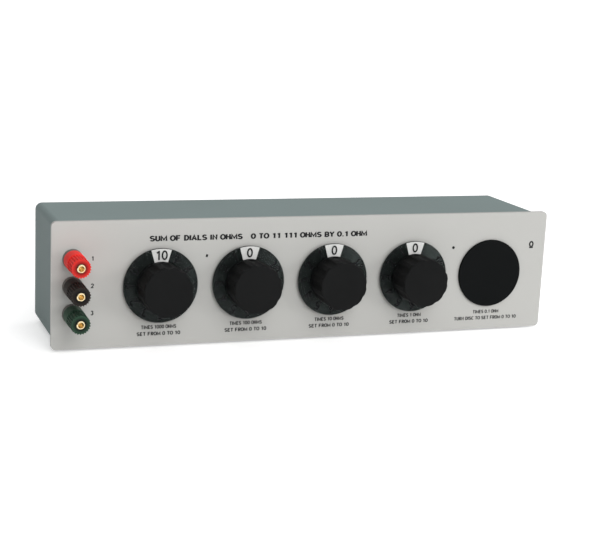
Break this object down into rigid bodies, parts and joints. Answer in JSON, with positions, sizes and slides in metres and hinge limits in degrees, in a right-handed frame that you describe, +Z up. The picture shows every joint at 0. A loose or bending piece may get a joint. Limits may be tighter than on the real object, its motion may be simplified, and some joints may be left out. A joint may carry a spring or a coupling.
{
  "type": "decade resistance box",
  "caption": "Bench resistance substituter: long painted case behind an overhanging grey panel, with round number-window dials in a row and a column of binding posts.",
  "frame": {"origin": "on the table, at the middle of the outline of the whole box, panel, posts and rear screws included", "axes": "+X to the right along the front panel, +Y from the front panel to the rear, +Z up"},
  "size_m": [0.3746, 0.1208, 0.0905],
  "materials": {
    "panel_paint": "light grey satin paint",
    "case_paint": "blue-grey satin paint",
    "plated_steel": "bright plated",
    "foot_rubber": "matt",
    "dial_black": "satin black",
    "window_white": "satin white",
    "switch_metal": "plain",
    "ceramic": "glazed ceramic",
    "brass": "plain brass",
    "resistor_body": "lacquer",
    "wire_red": "plain insulation",
    "knob_black": "satin gloss",
    "clear_plastic": "clear",
    "gold_plate": "gold plated",
    "post_red": "gloss",
    "post_black": "gloss",
    "post_green": "gloss"
  },
  "bodies": {
    "enclosure": {"front_panel": "panel_paint", "case_shell": "case_paint", "panel_pillars": "plated_steel", "case_screws": "plated_steel", "rubber_feet": "foot_rubber", "dial_plate_1": "dial_black", "dial_plate_2": "dial_black", "dial_plate_3": "dial_black", "dial_plate_4": "dial_black", "window_inlays": "window_white", "switch_housing_1": "switch_metal", "switch_housing_2": "switch_metal", "switch_housing_3": "switch_metal", "switch_housing_4": "switch_metal", "switch_housing_5": "switch_metal", "switch_wafers": "ceramic", "wafer_spacers": "brass", "tie_screws": "plated_steel", "contact_tags": "brass", "switch_screws": "plated_steel", "resistor_string_1": "resistor_body", "resistor_string_2": "resistor_body", "resistor_string_3": "resistor_body", "resistor_string_4": "resistor_body", "resistor_string_5": "resistor_body", "post_base_red": "post_red", "post_base_black": "post_black", "post_base_green": "post_green", "post_stud_red": "gold_plate", "post_stud_black": "gold_plate", "post_stud_green": "gold_plate", "post_washers": "ceramic", "post_lugs": "brass", "post_nuts": "brass", "hookup_wires": "wire_red"},
    "dial_1": {"knob_1": "knob_black", "dial_skirt_1": "clear_plastic", "switch_rotor_1": "plated_steel"},
    "dial_2": {"knob_2": "knob_black", "dial_skirt_2": "clear_plastic", "switch_rotor_2": "plated_steel"},
    "dial_3": {"knob_3": "knob_black", "dial_skirt_3": "clear_plastic", "switch_rotor_3": "plated_steel"},
    "dial_4": {"knob_4": "knob_black", "dial_skirt_4": "clear_plastic", "switch_rotor_4": "plated_steel"},
    "dial_5": {"disc_dial_5": "knob_black", "switch_rotor_5": "plated_steel"},
    "red_insert": {"cap_insert_red": "gold_plate"},
    "red_cap": {"post_cap_red": "post_red"},
    "black_insert": {"cap_insert_black": "gold_plate"},
    "black_cap": {"post_cap_black": "post_black"},
    "green_insert": {"cap_insert_green": "gold_plate"},
    "green_cap": {"post_cap_green": "post_green"}
  },
  "joints": [
    {"name": "dial_1_turn", "type": "hinge", "parent": "enclosure", "child": "dial_1", "pos_m": [-0.11242, -0.0294, 0.04485], "axis": [0, 1, 0], "range_deg": [-300, 0]},
    {"name": "dial_2_turn", "type": "hinge", "parent": "enclosure", "child": "dial_2", "pos_m": [-0.04893, -0.0294, 0.04485], "axis": [0, 1, 0], "range_deg": [0, 300]},
    {"name": "dial_3_turn", "type": "hinge", "parent": "enclosure", "child": "dial_3", "pos_m": [0.01457, -0.0294, 0.04485], "axis": [0, 1, 0], "range_deg": [0, 300]},
    {"name": "dial_4_turn", "type": "hinge", "parent": "enclosure", "child": "dial_4", "pos_m": [0.07808, -0.0294, 0.04485], "axis": [0, 1, 0], "range_deg": [0, 300]},
    {"name": "dial_5_turn", "type": "hinge", "parent": "enclosure", "child": "dial_5", "pos_m": [0.14158, -0.0294, 0.04485], "axis": [0, 1, 0], "range_deg": [0, 300]},
    {"name": "red_cap_travel", "type": "slide", "parent": "enclosure", "child": "red_insert", "axis": [0, -1, 0], "range_m": [0, 0.005]},
    {"name": "red_cap_turn", "type": "hinge", "parent": "red_insert", "child": "red_cap", "pos_m": [-0.17303, -0.0294, 0.0648], "axis": [0, -1, 0], "range_deg": [0, 1800]},
    {"name": "black_cap_travel", "type": "slide", "parent": "enclosure", "child": "black_insert", "axis": [0, -1, 0], "range_m": [0, 0.005]},
    {"name": "black_cap_turn", "type": "hinge", "parent": "black_insert", "child": "black_cap", "pos_m": [-0.17303, -0.0294, 0.04575], "axis": [0, -1, 0], "range_deg": [0, 1800]},
    {"name": "green_cap_travel", "type": "slide", "parent": "enclosure", "child": "green_insert", "axis": [0, -1, 0], "range_m": [0, 0.005]},
    {"name": "green_cap_turn", "type": "hinge", "parent": "green_insert", "child": "green_cap", "pos_m": [-0.17303, -0.0294, 0.0267], "axis": [0, -1, 0], "range_deg": [0, 1800]}
  ],
  "couplings": [
    {"joint": "red_cap_travel", "follows": "red_cap_turn", "m_per_rad": 0.00015915},
    {"joint": "black_cap_travel", "follows": "black_cap_turn", "m_per_rad": 0.00015915},
    {"joint": "green_cap_travel", "follows": "green_cap_turn", "m_per_rad": 0.00015915}
  ]
}
